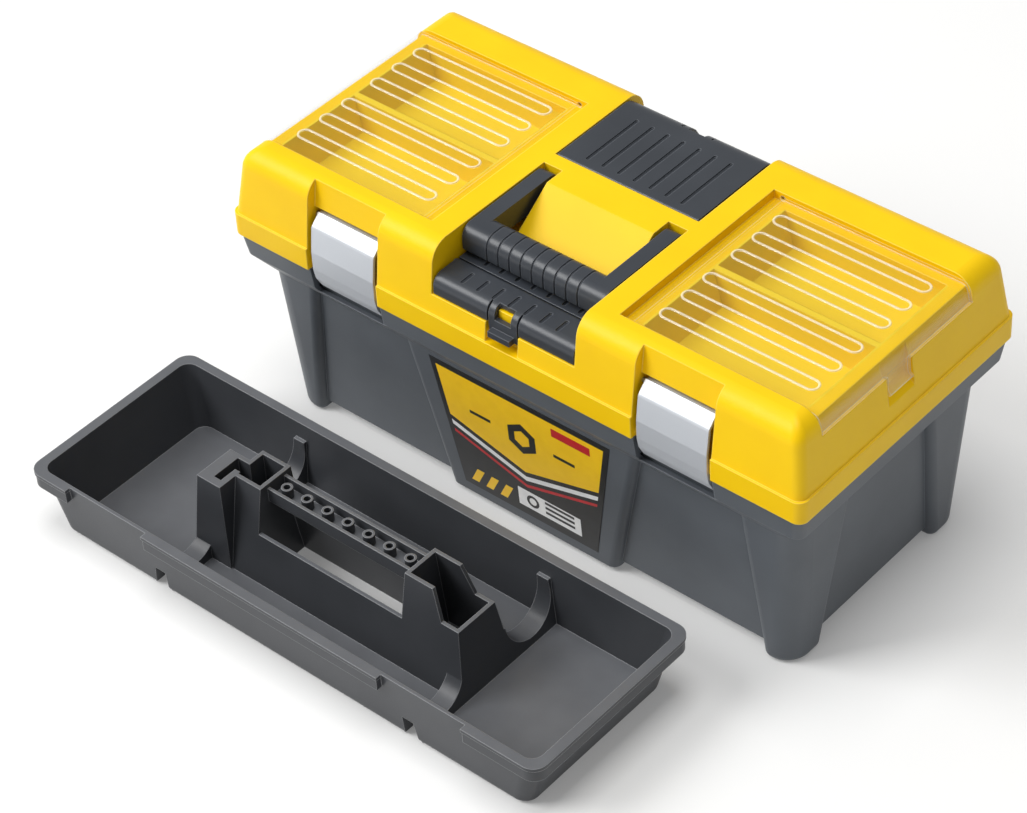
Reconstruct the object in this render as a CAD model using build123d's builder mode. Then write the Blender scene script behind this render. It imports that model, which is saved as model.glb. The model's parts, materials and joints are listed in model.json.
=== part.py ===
from build123d import *
import os
from math import atan2, cos, degrees, radians, sin

# Lidded toolbox with a lift-out tray, in millimetres.
# Z is up and the latches face -Y. Pieces are drawn about the middle of the box's footprint.

# Box, measured over the rim of the lid
length = 528.0
depth = 252.0
height = 246.0
corner_radius = 8.0
wall = 3.0
half_x = length / 2
half_y = depth / 2

# Clearances
running_gap = 0.5
seat_gap = 0.3
pin_play = 0.05
past = 10.0

# Lid, whose levels are measured down from the top
rim_low_z = height - 75.0
rim_high_z = height - 56.0
rim_step = 1.7
lid_draft = 0.131
lid_shoulder = 17.0
crown = 0.05

# Tub, whose levels are measured down from the rim
leg_foot_inset = 23.4
leg_top_inset = 15.2
leg_corner_radius = 20.0
leg_side_radius = 7.0
leg_foot_radius = 6.5
leg_foot_width_x = 50.0
leg_top_width_x = 66.0
leg_foot_width_y = 58.0
leg_top_width_y = 80.0
panel_foot_half = 80.0
panel_top_half = 110.0
panel_foot_z = 5.0
panel_recess = 6.0
tub_floor_z = 10.0
flare_low_z = rim_low_z - 35.0
flange_low_z = rim_low_z - 20.0
flange_low_inset = 4.8
flange_top_inset = 2.0
tongue_height = 6.0
tongue_inset = 4.2
tray_ledge = 8.7
ledge_rise = 2.0

# Label on the front panel
label_top_half = 85.0
label_foot_half = 64.0
label_low_z = 14.0
label_high_z = flare_low_z - 4.0
label_thickness = 0.4

# Lid hinge at the back
hinge_offset = 6.5
hinge_radius = 4.5
hinge_pin_radius = 2.0
hinge_arm_angle = 30.0
hinge_x = half_x - 114.0
lid_knuckle = 30.0
tub_knuckle = 12.0

# Latches, set behind the front of the rim
latch_x = half_x - 111.5
latch_width = 61.0
latch_thickness = 2.5
latch_pivot_y = 16.0 - half_y
latch_pivot_z = height - 31.4
latch_barrel_radius = 4.0
latch_pin_radius = 2.0
latch_pocket_half = 34.5
latch_pocket_back = 5.5
latch_pocket_rise = 7.0
pocket_roof_gap = 2.5
pocket_roof_slope = 1.0
pocket_overhang = 7.5
pocket_brow = 2.5
latch_bend = 3.0
latch_face_inset = 2.8
latch_knee_inset = 5.6
latch_knee_drop = 4.8
latch_face_top = 1.0
latch_face_foot = 2.3
latch_curl_inset = 4.5
latch_curl_rise = 10.2
latch_foot_inset = 10.0
latch_foot_z = flange_low_z + 2.8
latch_hook_depth = 3.0
latch_hook_height = 2.4
catch_y = 13.8 - half_y
catch_low_z = flange_low_z - 5.0
keeper_half = 24.0
keeper_z = flange_low_z + 6.6
keeper_height = 3.5
keeper_depth = 3.7

# Handle and its recess, set behind the front of the rim
recess_half = 66.0
recess_back_y = 131.0 - half_y
recess_floor_z = height - 30.0
front_ledge_z = height - 40.0
front_ledge_depth = 14.0
block_half = 49.0
block_foot_y = 72.0 - half_y
block_top_y = 114.0 - half_y
handle_pivot_z = height - 10.0
handle_end_radius = 9.5
handle_pin_radius = 2.5
arm_width = 12.5
arm_gap = 1.5
grip_front_y = 38.0 - half_y
grip_depth = 26.0
grip_low_z = height - 22.0
grip_round = 10.0
grip_grooves = 9
groove_width = 1.6
groove_depth = 1.0

# Front and rear plates
plate_gap = 1.5
plate_thickness = 4.0
plate_barrel_radius = 2.6
plate_pin_radius = 1.5
front_plate_front_y = 5.0 - half_y
front_plate_hinge_y = 30.5 - half_y
front_plate_hinge_z = height - 26.6
liner_back_y = 69.0 - half_y
front_cell_half = 54.0
front_cell_floor_z = height - 47.0
rear_plate_front_y = 143.5 - half_y
rear_plate_flat_y = half_y - 27.0
rear_cell_half = 56.0
rear_cell_floor_z = height - 32.0
rear_cell_front_y = rear_plate_front_y + 9.5
rear_cell_back_y = half_y - 32.0
plate_slots = 7
slot_pitch = 14.5
slot_width = 3.0
slot_depth = 1.2
nose_bend = 7.0
rear_bend = 14.0
rear_lip_drop = 20.0
rear_lip_gap = 2.0
rear_lip_inset = 1.5
tab_half = 13.0
tab_drop = 15.0
tab_slit = 1.6
tab_window_half = 7.5
tab_lip_half = 10.0
tab_lip_height = 5.0
tab_lip_reach = 5.5
tab_foot_z = height - 48.0
tab_notch_margin = 2.0
tab_notch_drop = 8.0

# Clear covers and the wells under them
cover_inner_x = 86.0
cover_front_y = 31.0 - half_y
cover_back_y = half_y - 47.0
cover_hinge_x = 94.0
cover_hinge_z = height - 4.3
cover_barrel_radius = 2.4
cover_pin_radius = 1.8
cover_thickness = 2.6
cover_top_drop = 3.0
cover_floor_drop = 7.4
cover_bend = 6.0
cover_lip_z = height - 18.5
cover_end_inset = 14.0
cover_seat_slope = 4.6
cover_notch_drop = 27.0
cover_side_gap = 0.6
cover_pin_reach = 2.5
cover_tab_in = 0.4
cover_tab_out = 0.8
well_floor_z = height - 35.0
well_margin = 7.0
well_divider = 5.0
well_slope = 10.0
loop_count = 3
loop_width = 12.0
loop_margin = 4.0
loop_end_margin = 2.5
loop_line = 1.4
loop_height = 0.7

# Tray, which stands in front of the box and hangs by its ends on the step inside the tub
tray_x = -52.0
tray_front_gap = 31.5
tray_width = 169.0
tray_end_gap = 1.0
tray_height = 56.0
tray_wall = 2.5
tray_rim = 7.5
tray_lip = 3.0
tray_lip_reach = 0.8
tray_skirt = 13.0
tray_foot_inset_x = 19.5
tray_foot_inset_y = 10.0
tray_corner = 12.0
tray_foot_round = 6.0
cut_backs = ((-207.0, -128.0), (103.0, 180.0))
cut_back_depth = 5.6

# Spine of the tray, with a tower at each end
spine_wall = 3.0
spine_foot_half_x = 132.0
spine_top_half_x = 118.0
spine_foot_y = (-30.5, 25.5)
spine_top_y = (-15.0, 17.0)
spine_top_z = 84.0
tower_inner_x = 70.0
left_step_x = -98.0
left_far_front_y = -31.5
left_far_rear_y = 3.5
left_far_pocket = (-107.0, -100.0, -25.0, 0.0)
left_link_pocket = (-102.0, -94.0, -10.0, 0.0)
left_pocket_z = 40.0
right_step_x = (96.0, 106.0)
right_low_z = 60.0
bar_y = 2.0
bar_half = 10.0
bar_low_z = 68.0
bar_top_z = 80.0
slot_low_z = 45.0
rail_width = 2.5
bit_tubes = 7
bit_pitch = 20.0
bit_outer_radius = 4.5
bit_inner_radius = 2.7
divider_inner_x = 114.5
divider_top_z = 42.0
scoop_y = 48.0
scoop_radius = 24.5
scoop_floor_z = 9.0
channel_wall = 2.0
channel_flare = 2.5
channel_mouth_height = 20.0


def block(x0, x1, y0, y1, z0, z1, mode=Mode.ADD):
    """Box between two corners, joined to or cut from the piece being made."""
    with Locations(((x0 + x1) / 2, (y0 + y1) / 2, (z0 + z1) / 2)):
        Box(abs(x1 - x0), abs(y1 - y0), abs(z1 - z0), mode=mode)


def rod_x(x0, x1, y, z, radius, mode=Mode.ADD):
    """Round bar along X."""
    with Locations(Location(((x0 + x1) / 2, y, z), (0, 90, 0))):
        Cylinder(radius, abs(x1 - x0), mode=mode)


def rod_y(x, y0, y1, z, radius, mode=Mode.ADD):
    """Round bar along Y."""
    with Locations(Location((x, (y0 + y1) / 2, z), (90, 0, 0))):
        Cylinder(radius, abs(y1 - y0), mode=mode)


def prism_x(points, x0, x1, grow=0.0, mode=Mode.ADD):
    """Outline of (y, z) points, widened by grow, carried from x0 to x1."""
    with BuildSketch(Plane.YZ.offset(min(x0, x1))) as section:
        with BuildLine():
            Polyline(*points, close=True)
        make_face()
        if grow:
            offset(amount=grow, kind=Kind.INTERSECTION)
    extrude(section.sketch, amount=abs(x1 - x0), mode=mode)


def prism_y(points, y0, y1, grow=0.0, mode=Mode.ADD):
    """Outline of (x, z) points, widened by grow, carried from y0 to y1."""
    with BuildSketch(Plane.XZ.offset(-max(y0, y1))) as section:
        with BuildLine():
            Polyline(*points, close=True)
        make_face()
        if grow:
            offset(amount=grow, kind=Kind.INTERSECTION)
    extrude(section.sketch, amount=abs(y1 - y0), mode=mode)


def rounded_block(low, high, mode=Mode.ADD):
    """Loft between two rounded rectangles, each given as z, length, width and corner radius."""
    sections = []
    for z, size_x, size_y, radius in (low, high):
        with BuildSketch(Plane.XY.offset(z)) as section:
            RectangleRounded(size_x, size_y, radius)
        sections.append(section.sketch)
    loft(sections, ruled=True, mode=mode)


def rim_block(low, high, mode=Mode.ADD):
    """Rounded block that follows the rim of the box, given as z, inset and corner radius."""
    ends = [(z, length - 2 * inset, depth - 2 * inset, radius) for z, inset, radius in (low, high)]
    rounded_block(*ends, mode=mode)


def leaning_block(z0, box0, z1, box1, mode=Mode.ADD):
    """Loft between two level rectangles, each given as x0, x1, y0, y1."""
    sections = []
    for z, (x0, x1, y0, y1) in ((z0, box0), (z1, box1)):
        with BuildSketch(Plane.XY.offset(z)) as section:
            with Locations(((x0 + x1) / 2, (y0 + y1) / 2)):
                Rectangle(abs(x1 - x0), abs(y1 - y0))
        sections.append(section.sketch)
    loft(sections, ruled=True, mode=mode)


def strip_x(points, bend, thickness, x0, x1, mode=Mode.ADD):
    """Sheet of even thickness along (y, z) points with rounded bends, carried from x0 to x1."""
    with BuildSketch(Plane.YZ.offset(min(x0, x1))) as section:
        with BuildLine():
            FilletPolyline(*points, radius=bend)
        trace(line_width=thickness)
    extrude(section.sketch, amount=abs(x1 - x0), mode=mode)


def strip_y(points, bend, thickness, y0, y1, mode=Mode.ADD):
    """Sheet of even thickness along (x, z) points with rounded bends, carried from y0 to y1."""
    with BuildSketch(Plane.XZ.offset(-max(y0, y1))) as section:
        with BuildLine():
            FilletPolyline(*points, radius=bend)
        trace(line_width=thickness)
    extrude(section.sketch, amount=abs(y1 - y0), mode=mode)


# Hinge line of the lid, just behind the rim
hinge_y = half_y + hinge_offset
hinge_z = rim_low_z
knuckle_inner = lid_knuckle / 2
knuckle_outer = knuckle_inner + running_gap + tub_knuckle
arm_out = hinge_radius * sin(radians(hinge_arm_angle))
arm_rise = hinge_radius * cos(radians(hinge_arm_angle))

# Faces of the tub
tub_top_z = rim_low_z - seat_gap
wall_foot_inset = leg_foot_inset + panel_recess
wall_top_inset = leg_top_inset + panel_recess
ledge_z = flare_low_z + wall + ledge_rise
tongue_inner_inset = tongue_inset + wall
latch_zone_half = latch_pocket_half + wall + running_gap


def leg_plane_y(z):
    """Y of the front panel's face at height z."""
    lean = (leg_foot_inset - leg_top_inset) / flare_low_z
    return -half_y + leg_foot_inset - lean * z


with BuildPart() as tub:
    for sx in (-1, 1):
        for sy in (-1, 1):
            outer = (sx * half_x, sy * half_y)
            foot = (outer[0] - sx * leg_foot_width_x, outer[0], outer[1] - sy * leg_foot_width_y, outer[1])
            top = (outer[0] - sx * leg_top_width_x, outer[0], outer[1] - sy * leg_top_width_y, outer[1])
            leaning_block(0, foot, flare_low_z, top)
    for sy in (-1, 1):
        foot = (-panel_foot_half, panel_foot_half, sy * half_y / 2, sy * half_y)
        top = (-panel_top_half, panel_top_half, sy * half_y / 2, sy * half_y)
        leaning_block(panel_foot_z, foot, flare_low_z, top)
    rim_block(
        (0, leg_foot_inset, leg_corner_radius),
        (flare_low_z, leg_top_inset, leg_corner_radius),
        mode=Mode.INTERSECT,
    )
    # The legs and the two panels are rounded down their sides, and the legs under their feet too
    leg_inset = (leg_foot_inset + leg_top_inset) / 2
    flat_x = half_x - leg_inset - leg_corner_radius - seat_gap
    flat_y = half_y - leg_inset - leg_corner_radius - seat_gap
    sides = []
    for edge in tub.edges():
        middle = edge.center()
        on_front = abs(middle.Y) > half_y - leg_inset - seat_gap and abs(middle.X) < flat_x
        on_end = abs(middle.X) > half_x - leg_inset - seat_gap and abs(middle.Y) < flat_y
        if edge.bounding_box().size.Z > flare_low_z / 2 and (on_front or on_end):
            sides.append(edge)
    fillet(sides, leg_side_radius)
    fillet(tub.edges().group_by(Axis.Z)[0], leg_foot_radius)
    rim_block(
        (tub_floor_z, wall_foot_inset, corner_radius),
        (flare_low_z, wall_top_inset, corner_radius),
    )
    rim_block(
        (flare_low_z, leg_top_inset, leg_corner_radius),
        (flange_low_z, flange_low_inset, corner_radius),
    )
    rim_block(
        (flange_low_z, flange_low_inset, corner_radius),
        (tub_top_z, flange_top_inset, corner_radius),
    )
    rim_block(
        (tub_top_z, tongue_inset, corner_radius),
        (tub_top_z + tongue_height, tongue_inset, corner_radius),
    )
    # Inside of the tub, with the step that the tray's rim hangs on
    rim_block(
        (tub_floor_z + wall, wall_foot_inset + wall, corner_radius),
        (ledge_z, wall_top_inset + wall, corner_radius),
        mode=Mode.SUBTRACT,
    )
    rim_block(
        (ledge_z, wall_top_inset + wall - tray_ledge, corner_radius),
        (flange_low_z + wall, tongue_inner_inset, corner_radius),
        mode=Mode.SUBTRACT,
    )
    rim_block(
        (flange_low_z + wall, tongue_inner_inset, corner_radius),
        (tub_top_z + tongue_height + past, tongue_inner_inset, corner_radius),
        mode=Mode.SUBTRACT,
    )
    for sx in (-1, 1):
        # Catch of a latch: the tongue stops beside it, and a keeper rib stands over the latch's hook
        catch_x = (sx * latch_x - latch_pocket_half, sx * latch_x + latch_pocket_half)
        block(
            sx * latch_x - latch_zone_half,
            sx * latch_x + latch_zone_half,
            -half_y,
            -half_y / 2,
            tub_top_z,
            tub_top_z + tongue_height + past,
            mode=Mode.SUBTRACT,
        )
        block(
            catch_x[0] - wall,
            catch_x[1] + wall,
            -half_y + flange_low_inset + wall / 2,
            catch_y + wall,
            flange_low_z,
            tub_top_z,
        )
        block(catch_x[0] - wall, catch_x[1] + wall, catch_y, catch_y + wall, flare_low_z + wall, flange_low_z)
        block(*catch_x, -half_y, catch_y, catch_low_z, tub_top_z + past, mode=Mode.SUBTRACT)
        block(
            sx * latch_x - keeper_half,
            sx * latch_x + keeper_half,
            catch_y - keeper_depth,
            catch_y,
            keeper_z,
            keeper_z + keeper_height,
        )
        # Two hinge eyes on arms that rise from the flange
        for side in (-1, 1):
            eye_in = sx * hinge_x + side * (knuckle_inner + running_gap)
            eye_out = sx * hinge_x + side * knuckle_outer
            rod_x(eye_in, eye_out, hinge_y, hinge_z, hinge_radius)
            arm = [
                (half_y - flange_low_inset - wall, flange_low_z + wall),
                (hinge_y + arm_out, hinge_z - arm_rise),
                (hinge_y, hinge_z),
                (half_y + seat_gap, hinge_z - seat_gap),
                (half_y - flange_low_inset - wall, tub_top_z),
            ]
            prism_x(arm, eye_in, eye_out)
        rod_x(
            sx * hinge_x - knuckle_outer - past,
            sx * hinge_x + knuckle_outer + past,
            hinge_y,
            hinge_z,
            hinge_pin_radius + pin_play,
            mode=Mode.SUBTRACT,
        )

lid_hinge_pins = []
for sx in (-1, 1):
    with BuildPart() as pin:
        rod_x(
            sx * hinge_x - knuckle_outer,
            sx * hinge_x + knuckle_outer,
            hinge_y,
            hinge_z,
            hinge_pin_radius,
        )
    lid_hinge_pins.append(pin)

# Label: a thin trapezium that lies on the leaning front panel
label_mid_z = (label_low_z + label_high_z) / 2
label_lean = atan2(leg_foot_inset - leg_top_inset, flare_low_z)
label_normal = Vector(0, -1, 0).rotate(Axis.X, degrees(label_lean))
label_plane = Plane(origin=(0, leg_plane_y(label_mid_z), label_mid_z), x_dir=(1, 0, 0), z_dir=label_normal)
label_rise = (label_high_z - label_low_z) / 2

with BuildPart() as label:
    with BuildSketch(label_plane) as label_face:
        with BuildLine():
            Polyline(
                (-label_foot_half, -label_rise),
                (label_foot_half, -label_rise),
                (label_top_half, label_rise),
                (-label_top_half, label_rise),
                close=True,
            )
        make_face()
    extrude(amount=label_thickness)

# Levels and lines of the lid
lid_top_inset = rim_step + lid_draft * (height - rim_high_z)
handle_pivot_y = recess_back_y - handle_end_radius - running_gap
front_ledge_y = -half_y + front_ledge_depth
front_plate_top_z = front_plate_hinge_z + plate_barrel_radius
rear_hinge_y = rear_plate_front_y + plate_barrel_radius + running_gap
rear_hinge_z = height - plate_barrel_radius
rear_floor_z = rear_hinge_z - plate_barrel_radius - running_gap
rear_lip_z = height - rear_lip_drop
rear_lip_y = half_y - lid_top_inset - rear_lip_inset
cover_floor_z = height - cover_floor_drop
cover_top_z = height - cover_top_drop
cover_end_x = half_x - cover_end_inset
latch_pocket_y = latch_pivot_y + latch_pocket_back
latch_pocket_low_z = rim_low_z + latch_pocket_rise
well_inner_x = cover_hinge_x + well_margin
well_outer_x = cover_end_x - well_margin - wall
well_middle_y = (cover_front_y + cover_back_y) / 2


def lid_recesses(grow):
    """Cut every hollow in the outside of the lid, wider by grow on each of its closed sides."""
    over = height + past
    front = -half_y - past
    cut = Mode.SUBTRACT
    wide = recess_half + grow
    # Recess of the handle: a low ledge in front, a floor under the grip, and a slot for each arm
    block(-wide, wide, front, front_ledge_y + grow, front_ledge_z - grow, over, cut)
    block(-wide, wide, front, block_foot_y + grow, recess_floor_z - grow, over, cut)
    for sx in (-1, 1):
        block(
            sx * (block_half - grow),
            sx * wide,
            block_foot_y - past,
            recess_back_y + grow,
            recess_floor_z - grow,
            over,
            cut,
        )
    slope = [
        (block_foot_y - past, recess_floor_z),
        (block_foot_y, recess_floor_z),
        (block_top_y, height),
        (block_top_y, over),
        (block_foot_y - past, over),
    ]
    prism_x(slope, -block_half, block_half, grow, cut)
    # Notches in front and behind for the snap tabs of the two plates
    notch_half = tab_half + tab_notch_margin
    block(
        -notch_half - grow,
        notch_half + grow,
        front,
        front_plate_front_y + plate_thickness + 2 * running_gap + grow,
        tab_foot_z - tab_notch_drop - grow,
        over,
        cut,
    )
    block(
        -notch_half - grow,
        notch_half + grow,
        rear_lip_y - plate_thickness - rear_lip_gap - grow,
        half_y + past,
        rear_lip_z - tab_drop - tab_notch_drop - grow,
        over,
        cut,
    )
    # Cell under the front plate
    cell_back = front_plate_hinge_y - plate_barrel_radius - running_gap
    block(
        -front_cell_half - grow,
        front_cell_half + grow,
        front_ledge_y + wall - grow,
        cell_back + grow,
        front_cell_floor_z - grow,
        over,
        cut,
    )
    # Seat and cell of the rear plate, which turns down over the back shoulder
    seat = [
        (rear_plate_front_y, rear_floor_z),
        (rear_plate_flat_y + plate_thickness - rear_lip_gap, rear_floor_z),
        (rear_lip_y - plate_thickness - rear_lip_gap, rear_lip_z - rear_lip_gap),
        (half_y + past, rear_lip_z - rear_lip_gap),
        (half_y + past, over),
        (rear_plate_front_y, over),
    ]
    prism_x(seat, -recess_half - grow, recess_half + grow, grow, cut)
    block(
        -rear_cell_half - grow,
        rear_cell_half + grow,
        rear_cell_front_y - grow,
        rear_cell_back_y + grow,
        rear_cell_floor_z - grow,
        over,
        cut,
    )
    for sx in (-1, 1):
        # Seat of a clear cover, open at the end of the box, with two wells and a finger notch
        seat = [
            (sx * cover_inner_x, cover_floor_z),
            (sx * (cover_end_x + running_gap), cover_floor_z),
            (sx * (cover_end_x + cover_seat_slope), cover_lip_z - running_gap),
            (sx * (half_x + past), cover_lip_z - running_gap),
            (sx * (half_x + past), over),
            (sx * cover_inner_x, over),
        ]
        prism_y(seat, cover_front_y - grow, cover_back_y + grow, grow, cut)
        notch = [
            (sx * (cover_end_x + 2 * running_gap), cover_floor_z),
            (sx * (cover_end_x + 2 * running_gap), cover_lip_z - tab_drop),
            (sx * half_x, cover_lip_z - cover_notch_drop),
            (sx * (half_x + past), cover_lip_z - cover_notch_drop),
            (sx * (half_x + past), cover_floor_z),
        ]
        prism_y(notch, well_middle_y - notch_half - grow, well_middle_y + notch_half + grow, grow, cut)
        for sy in (-1, 1):
            near_y = well_middle_y + sy * well_divider / 2
            far_y = (cover_front_y + well_margin) if sy < 0 else (cover_back_y - well_margin)
            floor = (
                sx * (well_inner_x + well_slope - grow),
                sx * (well_outer_x - well_slope + grow),
                near_y + sy * (wall - grow),
                far_y - sy * (wall - grow),
            )
            mouth = (
                sx * (well_inner_x - grow),
                sx * (well_outer_x + grow),
                near_y - sy * grow,
                far_y + sy * grow,
            )
            leaning_block(well_floor_z - grow, floor, cover_floor_z + seat_gap, mouth, cut)
        # Latch pocket, with a sloping face above the latch and a relief in the rim below it
        roof_z = latch_pivot_z + latch_barrel_radius + pocket_roof_gap
        pocket = [
            (front, latch_pocket_low_z),
            (latch_pocket_y, latch_pocket_low_z),
            (latch_pocket_y, roof_z),
            (latch_pocket_y - pocket_overhang, roof_z + pocket_roof_slope),
            (latch_pocket_y - pocket_brow, over),
            (front, over),
        ]
        prism_x(
            pocket,
            sx * latch_x - latch_pocket_half - grow,
            sx * latch_x + latch_pocket_half + grow,
            grow,
            cut,
        )
        block(
            sx * latch_x - latch_pocket_half - grow,
            sx * latch_x + latch_pocket_half + grow,
            front,
            -half_y + latch_face_inset + latch_thickness / 2 + 2 * running_gap + grow,
            rim_low_z - past,
            latch_pocket_low_z + running_gap,
            cut,
        )


# Inside of the lid, one wall in from its sides, its rounded shoulder and its recesses
with BuildPart() as lid_hollow:
    shoulder_z = height - lid_shoulder
    shoulder_inset = rim_step + lid_draft * (shoulder_z - rim_high_z)
    hollow_round = lid_shoulder - wall
    inside_corner = corner_radius - wall
    levels = [(rim_high_z, rim_step + wall, inside_corner)]
    for turn in (0, 45, 90):
        inset = shoulder_inset + lid_shoulder - hollow_round * cos(radians(turn))
        levels.append((shoulder_z + hollow_round * sin(radians(turn)), inset, inside_corner))
    for low, high in zip(levels, levels[1:]):
        rim_block(low, high)
    rim_block(
        (rim_low_z - past, wall, inside_corner),
        (rim_high_z, wall, inside_corner),
    )
    lid_recesses(wall)

with BuildPart() as lid:
    leaning_block(
        rim_high_z,
        (-half_x + rim_step, half_x - rim_step, -half_y + rim_step, half_y - rim_step),
        height + crown,
        (-half_x + lid_top_inset, half_x - lid_top_inset, -half_y + lid_top_inset, half_y - lid_top_inset),
    )
    fillet(lid.faces().sort_by(Axis.Z)[-1].edges(), lid_shoulder)
    corners = lid.edges().filter_by(
        lambda edge: abs(edge.center().X) > half_x / 2 and abs(edge.center().Y) > half_y / 2
    )
    fillet(corners, corner_radius)
    # The top is trimmed a hair, so that the corner rounds end in an edge and not in a point
    block(-half_x, half_x, -half_y, half_y, height, height + past, mode=Mode.SUBTRACT)
    rim_block(
        (rim_low_z, 0, corner_radius),
        (rim_high_z, 0, corner_radius),
    )
    lid_recesses(0.0)
    add(lid_hollow.part, mode=Mode.SUBTRACT)
    for sx in (-1, 1):
        # Hinge eye between the two eyes of the tub
        eye = (sx * hinge_x - knuckle_inner, sx * hinge_x + knuckle_inner)
        rod_x(*eye, hinge_y, hinge_z, hinge_radius)
        arm = [
            (half_y - wall, rim_low_z + seat_gap),
            (half_y, rim_low_z + seat_gap),
            (hinge_y, hinge_z),
            (hinge_y + arm_out, hinge_z + arm_rise),
            (half_y, rim_high_z - wall),
            (half_y - wall, rim_high_z - wall),
        ]
        prism_x(arm, *eye)
        rod_x(
            eye[0] - past,
            eye[1] + past,
            hinge_y,
            hinge_z,
            hinge_pin_radius + pin_play,
            mode=Mode.SUBTRACT,
        )
        # Holes for the handle pin, the latch pin and the cover's pin ends
        rod_x(
            sx * (block_half - wall),
            sx * (recess_half + wall),
            handle_pivot_y,
            handle_pivot_z,
            handle_pin_radius + pin_play,
            mode=Mode.SUBTRACT,
        )
        rod_x(
            sx * latch_x - latch_pocket_half - wall,
            sx * latch_x + latch_pocket_half + wall,
            latch_pivot_y,
            latch_pivot_z,
            latch_pin_radius + pin_play,
            mode=Mode.SUBTRACT,
        )
        rod_y(
            sx * cover_hinge_x,
            cover_front_y - wall,
            cover_back_y + wall,
            cover_hinge_z,
            cover_pin_radius + pin_play,
            mode=Mode.SUBTRACT,
        )
    # Nub that shows in the window of the front plate's tab
    block(
        -tab_window_half + running_gap,
        tab_window_half - running_gap,
        front_plate_front_y + plate_thickness + 1.5 * running_gap,
        front_ledge_y + wall,
        front_ledge_z - wall,
        front_plate_top_z - plate_thickness - 2.5 * running_gap,
    )
    plate_pin_half = recess_half + wall
    for pin_y, pin_z in ((front_plate_hinge_y, front_plate_hinge_z), (rear_hinge_y, rear_hinge_z)):
        rod_x(
            -plate_pin_half,
            plate_pin_half,
            pin_y,
            pin_z,
            plate_pin_radius + pin_play,
            mode=Mode.SUBTRACT,
        )

# Handle: two arms and a ribbed grip in one moulding, lying forward in its recess
arm_outer_x = recess_half - arm_gap
arm_inner_x = arm_outer_x - arm_width
arm_low_z = handle_pivot_z - handle_end_radius
arm_top_z = handle_pivot_z + handle_end_radius
grip_back_y = grip_front_y + grip_depth

with BuildPart() as handle:
    for sx in (-1, 1):
        rod_x(sx * arm_inner_x, sx * arm_outer_x, handle_pivot_y, handle_pivot_z, handle_end_radius)
        block(
            sx * arm_inner_x,
            sx * arm_outer_x,
            grip_back_y - grip_depth / 2,
            handle_pivot_y,
            arm_low_z,
            arm_top_z,
        )
    with BuildSketch(Plane.YZ.offset(-arm_outer_x)) as grip_section:
        with Locations(((grip_front_y + grip_back_y) / 2, (grip_low_z + arm_top_z) / 2)):
            Rectangle(grip_depth, arm_top_z - grip_low_z)
        fillet(grip_section.vertices().group_by(Axis.Y)[-1], grip_round)
        fillet(grip_section.vertices().group_by(Axis.Y)[0], grip_round / 3)
    extrude(amount=2 * arm_outer_x)
    groove_pitch = 2 * arm_inner_x / (grip_grooves + 1)
    for number in range(grip_grooves):
        groove_x = -arm_inner_x + groove_pitch * (number + 1)
        with BuildSketch(Plane.YZ.offset(groove_x - groove_width / 2)) as groove:
            add(grip_section.sketch_local)
            offset(amount=-groove_depth, mode=Mode.SUBTRACT)
        extrude(amount=groove_width, mode=Mode.SUBTRACT)
    for sx in (-1, 1):
        rod_x(
            sx * (arm_inner_x - past),
            sx * (arm_outer_x + past),
            handle_pivot_y,
            handle_pivot_z,
            handle_pin_radius + pin_play,
            mode=Mode.SUBTRACT,
        )

handle_pins = []
for sx in (-1, 1):
    with BuildPart() as pin:
        rod_x(
            sx * (block_half - wall),
            sx * (recess_half + wall),
            handle_pivot_y,
            handle_pivot_z,
            handle_pin_radius,
        )
    handle_pins.append(pin)


def plate_slot_cuts(first_y, last_y, top_z):
    """Row of rounded slots along Y in the top of a plate."""
    with BuildSketch(Plane.XY.offset(top_z)) as slots:
        with Locations((0, (first_y + last_y) / 2)):
            with GridLocations(slot_pitch, 0, plate_slots, 1):
                SlotOverall(abs(last_y - first_y), slot_width, rotation=90)
    extrude(slots.sketch, amount=-slot_depth, mode=Mode.SUBTRACT)


def plate_hinge(y, z):
    """Barrel along the hinged edge of a plate."""
    rod_x(-plate_half, plate_half, y, z, plate_barrel_radius)


def plate_hole(y, z):
    """Hole for the plate's pin."""
    rod_x(-plate_half - past, plate_half + past, y, z, plate_pin_radius + pin_play, mode=Mode.SUBTRACT)


# Front plate: hinged ahead of the grip, with a turned-down nose and a snap tab
plate_half = recess_half - plate_gap
front_plate_mid_z = front_plate_top_z - plate_thickness / 2
front_lip_y = front_plate_front_y + plate_thickness / 2
front_lip_z = front_ledge_z + running_gap

with BuildPart() as front_plate:
    nose = [
        (front_plate_hinge_y, front_plate_mid_z),
        (front_lip_y, front_plate_mid_z),
        (front_lip_y, front_lip_z),
    ]
    strip_x(nose, nose_bend, plate_thickness, -plate_half, plate_half)
    plate_hinge(front_plate_hinge_y, front_plate_hinge_z)
    nose_back_y = front_plate_front_y + nose_bend
    plate_slot_cuts(nose_back_y, front_plate_hinge_y - 2 * plate_barrel_radius, front_plate_top_z)
    for sx in (-1, 1):
        block(
            sx * tab_half,
            sx * (tab_half + tab_slit),
            front_plate_front_y - past,
            nose_back_y,
            front_lip_z - past,
            height,
            mode=Mode.SUBTRACT,
        )
    # The tab reaches below the ledge and ends in a thumb lip; its window shows the nub of the lid
    block(
        -tab_half,
        tab_half,
        front_plate_front_y,
        front_plate_front_y + plate_thickness,
        tab_foot_z,
        front_lip_z + plate_thickness,
    )
    block(
        -tab_lip_half,
        tab_lip_half,
        front_plate_front_y - tab_lip_reach,
        front_plate_front_y,
        tab_foot_z,
        tab_foot_z + tab_lip_height,
    )
    block(
        -tab_window_half,
        tab_window_half,
        front_plate_front_y - past,
        nose_back_y,
        front_lip_z + plate_thickness,
        height,
        mode=Mode.SUBTRACT,
    )
    plate_hole(front_plate_hinge_y, front_plate_hinge_z)

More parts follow.
